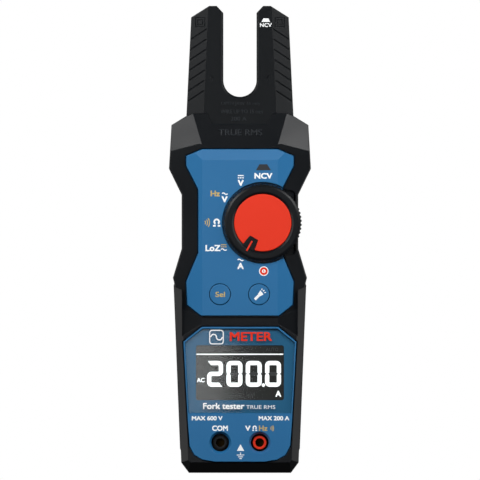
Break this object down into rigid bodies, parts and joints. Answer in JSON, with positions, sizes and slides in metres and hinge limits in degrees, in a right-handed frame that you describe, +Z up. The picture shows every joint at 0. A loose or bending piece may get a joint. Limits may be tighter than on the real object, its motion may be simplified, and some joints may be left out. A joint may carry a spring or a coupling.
{
  "type": "open-jaw clamp meter",
  "caption": "Hand-held open-jaw (fork) clamp meter with a rotary dial, two keys, a display and two 4 mm lead sockets.",
  "frame": {"origin": "middle of the flat base, on the surface it stands on", "axes": "+Z up towards the fork, the dial face looks along -Y, +X to the right of the face"},
  "size_m": [0.0684, 0.0417, 0.225],
  "materials": {
    "blue_shell": "fine textured moulded blue plastic",
    "soft_black": "matte overmoulded elastomer",
    "hard_black": "finely spark-eroded black plastic",
    "red_plastic": "satin red moulded plastic",
    "silicone": "soft grey silicone",
    "clear_window": "clear polished window",
    "display_glass": "dark display glass",
    "light_guide": "clear white light guide",
    "circuit_board": "green solder mask on glass fibre",
    "chip_resin": "moulded chip resin",
    "blue_resin": "dipped blue resin",
    "steel": "zinc plated steel",
    "core_steel": "stacked core sheet",
    "brass": "turned and stamped brass",
    "nickel": "nickel plated spring sheet",
    "copper": "lacquered copper wire",
    "ribbon_film": "amber film cable",
    "cell_jacket": "printed film on a steel can"
  },
  "bodies": {
    "housing": {"front_cover": "blue_shell", "front_bumper": "soft_black", "rear_cover": "blue_shell", "rear_bumper": "soft_black", "fork_front_cover": "hard_black", "fork_rear_cover": "hard_black", "case_seal": "silicone", "case_screws": "steel", "display_window": "clear_window", "window_gasket": "silicone", "lcd_glass": "display_glass", "lcd_frame": "hard_black", "backlight_plate": "light_guide", "zebra_strips": "silicone", "main_board": "circuit_board", "board_screws": "steel", "measuring_chip": "chip_resin", "control_chip": "chip_resin", "surge_discs": "blue_resin", "input_resistors": "chip_resin", "buzzer": "hard_black", "button_switches": "steel", "detent_leaf": "steel", "jack_carrier": "hard_black", "jack_sleeve_black": "hard_black", "jack_sleeve_red": "red_plastic", "jack_contact_com": "brass", "jack_contact_volt": "brass", "jack_straps": "brass", "battery_tray": "hard_black", "battery_cells": "cell_jacket", "battery_contacts": "nickel", "door_insert": "brass", "sensor_core": "core_steel", "coil_bobbins": "hard_black", "coil_windings": "copper", "sensor_board": "circuit_board", "sensor_ribbon": "ribbon_film", "ncv_antenna": "brass", "torch_led": "light_guide", "torch_lens": "clear_window"},
    "dial": {"dial_ring": "soft_black", "dial_cap": "red_plastic", "pointer_mark": "red_plastic", "dial_rotor": "hard_black", "dial_screw": "steel", "rotor_contacts": "brass"},
    "select_key": {"select_button": "blue_shell"},
    "torch_key": {"torch_button": "blue_shell"},
    "door": {"battery_door": "blue_shell", "door_seal": "silicone"},
    "screw": {"door_screw": "steel"}
  },
  "joints": [
    {"name": "dial_turn", "type": "hinge", "parent": "housing", "child": "dial", "pos_m": [0.011, -0.012, 0.1205], "axis": [0, 1, 0], "range_deg": [-30, 150]},
    {"name": "select_press", "type": "slide", "parent": "housing", "child": "select_key", "axis": [0, 1, 0], "range_m": [0, 0.0008], "stiffness_N_per_m": 2000},
    {"name": "torch_press", "type": "slide", "parent": "housing", "child": "torch_key", "axis": [0, 1, 0], "range_m": [0, 0.0008], "stiffness_N_per_m": 2000},
    {"name": "battery_door_hinge", "type": "hinge", "parent": "housing", "child": "door", "pos_m": [0, 0.0162, 0.0212], "axis": [-1, 0, 0], "range_deg": [0, 70]},
    {"name": "door_screw_turn", "type": "hinge", "parent": "door", "child": "screw", "pos_m": [0, 0.0165, 0.0844], "axis": [0, 1, 0], "continuous": true}
  ]
}
